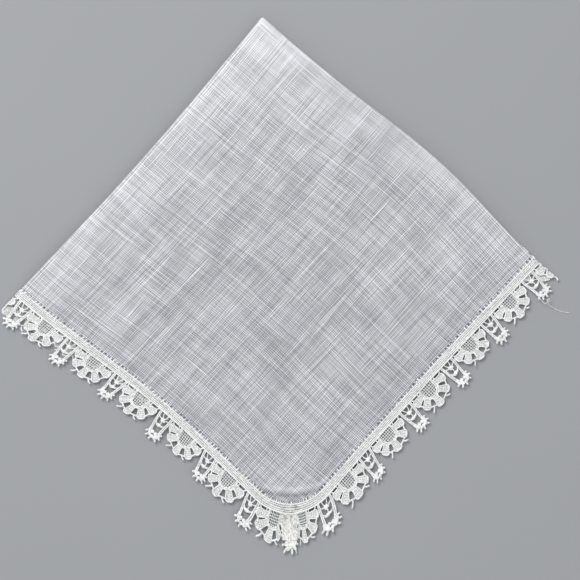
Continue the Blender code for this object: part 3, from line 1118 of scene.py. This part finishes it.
def linen_material():
    """Fine plain weave of uneven threads, with slubs, thin and dense places, and hem holes darkened
    with painted shade.
    """
    g = Graph("sheer_linen", 0.85, 0.15)
    warp = g.between(g.streaks("X", THREADS * 0.95, THREADS / 60, 0), 0.35, 0.65)
    weft = g.between(g.streaks("Y", THREADS * 0.95, THREADS / 60, 7), 0.35, 0.65)
    warp_band = g.streaks("X", THREADS / 3, 14, 3, detail=1.0)
    weft_band = g.streaks("Y", THREADS / 3, 14, 5, detail=1.0)
    warp_slub = g.between(g.streaks("X", THREADS * 1.1, 11, 11), 0.71, 0.75)
    weft_slub = g.between(g.streaks("Y", THREADS * 1.1, 11, 13), 0.72, 0.76)
    nubs = g.between(g.noise(g.uv("flat", (THREADS * 0.8, THREADS / 6, 17))), 0.78, 0.84)
    grain = g.between(g.noise(g.uv("flat", (THREADS * 1.3, THREADS * 1.3, 23))), 0.30, 0.70)
    clouds = g.noise(g.uv("flat", (16, 16, 19)), detail=4.0, roughness=0.55)
    # The tone attribute brings lighter bands at the folds, and painted light and shade: a lighter
    # top, a darker middle, and the ridge's painted highlight and shade.
    tone = g.add("Attribute", {}, attribute_name="tone").outputs["Fac"]
    fine = g.total(-0.5, (warp, 0.5), (weft, 0.5))
    waves = g.total(0.0, (thread_wave(g, "X", 29), 0.5), (thread_wave(g, "Y", 37), 0.5))
    broad = g.total(-1.0, (warp_band, 0.45), (weft_band, 0.45), (clouds, 1.1))
    threads = g.total(0.20, (fine, 0.36), (waves, 0.70), (broad, 0.27), (grain, 0.28))
    bright = g.total(threads, (warp_slub, 0.50), (weft_slub, 0.46), (nubs, 0.30), (tone, 1.0))
    around = g.uv("edge", (REPEATS, CLOTH_SIDE / MM, 0))
    holes = hem_holes(g, around)
    g.colour(g.mix(holes, g.mix(g.held(bright), LINEN_DARK, LINEN_LIGHT), HOLE_SHADE_COLOUR))
    gaps = weave_gaps(g)
    cover = g.total(0.86, (fine, 0.25), (broad, 0.15), (gaps, -0.30), (tone, 0.3), (holes, -0.2))
    g.put(g.shader.inputs["Alpha"], g.held(cover, LEAST_COVER))
    g.bump(g.total(0.0, (warp, 0.5), (weft, 0.5), (warp_slub, 0.8), (weft_slub, 0.8), (gaps, -0.5)))
    return g.material


def thread_wave(g, axis, seed):
    """Light and dark from thread to thread in one direction, stronger in some places."""
    wander = g.streaks(axis, THREADS / 11, THREADS / 70, seed)
    across = g.axis(g.uv("flat", (1, 1, 0)), axis)
    phase = g.total(0.0, (across, THREADS / WAVE_THREADS), (wander, 0.7))
    wave = g.math("SINE", g.math("MULTIPLY", phase, 2 * math.pi))
    strength = g.streaks(axis, THREADS / 3, THREADS / 13, seed + 1)
    return g.math("MULTIPLY", wave, g.between(strength, 0.30, 0.70, 0.3, 1.0))


def weave_gaps(g):
    """The small openings between the threads."""
    cells = g.uv("flat", (THREADS, THREADS, 0))
    gaps = []
    for name in ("X", "Y"):
        off = g.math("ABSOLUTE", g.math("SUBTRACT", g.math("FRACT", g.axis(cells, name)), 0.5))
        gaps.append(g.between(off, 0.28, 0.46))
    return g.math("MULTIPLY", *gaps)


# The hem's holes, in millimetres: how far in they are, where beside a stitch, and their shape.
HOLE_DEPTH = 0.32
HOLE_PLACE = 0.62
HOLE_SHAPE = 0.85
HOLE_WANDER = 0.3


def hem_holes(g, around):
    """A row of tiny holes, one beside each stitch, where the linen's threads are drawn apart; the
    linen is thinner there, and their dark colour is painted shade.
    """
    stitch = REPEAT / MM / STITCHES
    places = g.math("FRACT", g.math("MULTIPLY", g.axis(around, "X"), STITCHES))
    off = g.math("MULTIPLY", g.math("SUBTRACT", places, HOLE_PLACE), stitch * HOLE_SHAPE)
    wander = g.noise(g.scaled(around, (9, 0, 0)))
    middle = HOLE_DEPTH + HOLE_WANDER / 2
    depth = g.total(-middle, (g.axis(around, "Y"), 1.0), (wander, -HOLE_WANDER))
    squares = g.math("ADD", g.math("MULTIPLY", off, off), g.math("MULTIPLY", depth, depth))
    hole = g.between(g.math("SQRT", squares), 0.22, 0.50, 1.0, 0.0)
    size = g.noise(g.scaled(around, (6, 0, 0)), detail=3.0)
    return g.math("MULTIPLY", hole, g.between(size, 0.38, 0.58, 0.15, 1.0))


COTTONS = {
    # its darker and its lighter colour, and how fine its twist is
    "lace_cotton": ((0.66, 0.66, 0.65), (0.97, 0.97, 0.965), 1500),
    "header_cotton": ((0.78, 0.78, 0.77), (0.98, 0.98, 0.975), 1100),
    # The darker colour under the petals' and header's threads is painted shade, for the gaps
    # between them.
    "lace_painted_gap_shade": ((0.24, 0.24, 0.24), (0.60, 0.60, 0.59), 1300),
    "gathered_cotton": ((0.60, 0.59, 0.56), (0.93, 0.925, 0.90), 1200),
}


def lace_material(name, low, high, grain):
    """Cotton thread: matt white, a little uneven, with a fine twist."""
    g = Graph(name, 0.8, 0.2)
    broad = g.noise(g.place(140), detail=2.0)
    fine = g.between(g.noise(g.place(grain), detail=2.0, roughness=0.6), 0.35, 0.62)
    value = g.total(-0.25, (broad, 0.6), (fine, 0.9))
    g.colour(g.mix(g.held(value), low, high))
    g.bump(fine)
    return g.material


FLOOR_HALF = 2.0
FLOOR_COLOURS = ((0.315, 0.322, 0.334), (0.335, 0.342, 0.354))


def floor_material():
    """Plain and pale, with faint broad patches."""
    g = Graph("plain_floor", 0.9, 0.0)
    patches = g.noise(g.place(6), detail=2.0)
    g.colour(g.mix(patches, *FLOOR_COLOURS))
    return g.material


def make_floor():
    """The surface that the cloth lies on."""
    mesh = bpy.data.meshes.new("floor")
    corners = [(FLOOR_HALF * x, FLOOR_HALF * y, 0) for x, y in ((-1, -1), (1, -1), (1, 1), (-1, 1))]
    mesh.from_pydata(corners, [], [(0, 1, 2, 3)])
    mesh.materials.append(floor_material())
    floor = placed("floor", mesh)
    return floor


LIGHTS = (
    # name, place, size, power, colour
    ("main_light", (-0.45, 0.65, 0.95), 0.6, 10.5, (1.0, 0.995, 0.985)),
    ("fill_light", (0.6, -0.5, 0.9), 0.9, 2.6, (0.97, 0.985, 1.0)),
)
SKY_COLOUR = (0.95, 0.98, 1.0, 1.0)
SKY_STRENGTH = 0.55


def add_area_light(name, location, size, power, colour):
    """A square light that faces the middle of the cloth."""
    light = bpy.data.lights.new(name, "AREA")
    light.shape, light.size, light.energy, light.color = "SQUARE", size, power, colour
    lamp = placed(name, light)
    lamp.location = location
    lamp.rotation_mode = "QUATERNION"
    lamp.rotation_quaternion = (-Vector(location)).to_track_quat("-Z", "Y")


def light_the_scene():
    """Soft studio light from all round, with more from the upper left."""
    world = bpy.data.worlds.new("studio")
    world.use_nodes = True
    background = world.node_tree.nodes["Background"]
    background.inputs["Color"].default_value = SKY_COLOUR
    background.inputs["Strength"].default_value = SKY_STRENGTH
    bpy.context.scene.world = world
    for row in LIGHTS:
        add_area_light(*row)
    bpy.context.scene.view_settings.view_transform = "Standard"


def add_camera():
    """Looks straight down on the cloth."""
    camera = placed("camera", bpy.data.cameras.new("camera"))
    camera.data.lens, camera.data.sensor_width = LENS, SENSOR
    distance = PIXELS * PIXEL_SIZE * LENS / SENSOR
    camera.location = (*VIEW_MIDDLE, TOP_LAYER_HEIGHT + distance)
    bpy.context.scene.camera = camera


# The bells lean towards the nearest corner: how much, and where most, in repeats from it.
BELL_LEAN = 0.19
BELL_LEAN_PLACE = 1.9
BELL_LEAN_REACH = 1.25


def dress():
    """Makes every piece with its material, and hides the solids that the pieces show."""
    linen = linen_material()
    cotton, header_cotton, painted_gap_shade, gathered = (
        lace_material(name, *row) for name, row in COTTONS.items()
    )
    filling, petals, fans, bells, corners = (Shape() for _ in range(5))
    draw_fan(filling, petals, fans)
    draw_bell(bells)
    draw_corner(corners)
    fan_places = np.arange(REPEATS) + 0.5
    bell_places = np.array([k for k in range(REPEATS) if k % SIDE_REPEATS], float)
    corner_places = np.arange(4.0) * SIDE_REPEATS
    from_lean = (to_nearest_corner(bell_places) - BELL_LEAN_PLACE) / BELL_LEAN_REACH
    towards = np.where(bell_places % SIDE_REPEATS > SIDE_REPEATS / 2, 1.0, -1.0)
    leans = towards * BELL_LEAN * np.exp(-(from_lean**2))
    lace = [
        make_piece(name, *set_round(shape, places, seed, lean), material, "lace")
        for name, shape, places, seed, lean, material in (
            # The petals' filling is coloured with painted shade, for the gaps between its threads.
            ("lace_petals", filling, fan_places, FAN_COPIES_SEED, 0.0, painted_gap_shade),
            ("lace_petal_threads", petals, fan_places, FAN_COPIES_SEED, 0.0, cotton),
            ("lace_fans", fans, fan_places, FAN_COPIES_SEED, 0.0, cotton),
            ("lace_bells", bells, bell_places, BELL_COPIES_SEED, leans, cotton),
            ("lace_corners", corners, corner_places, SEAM_COPIES_SEED, 0.0, gathered),
        )
    ]
    header = make_header(header_cotton)
    lace += [
        header,
        # The band under the header's threads is coloured with painted shade.
        make_header_band(painted_gap_shade),
        make_zigzag(header_cotton),
        make_hem_stitches(header_cotton),
        make_loose_thread(cotton),
    ]
    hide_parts("lace_edging")
    sheet = make_linen(linen)
    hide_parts("linen_cloth")
    floor = make_floor()


add_camera()
dress()
light_the_scene()
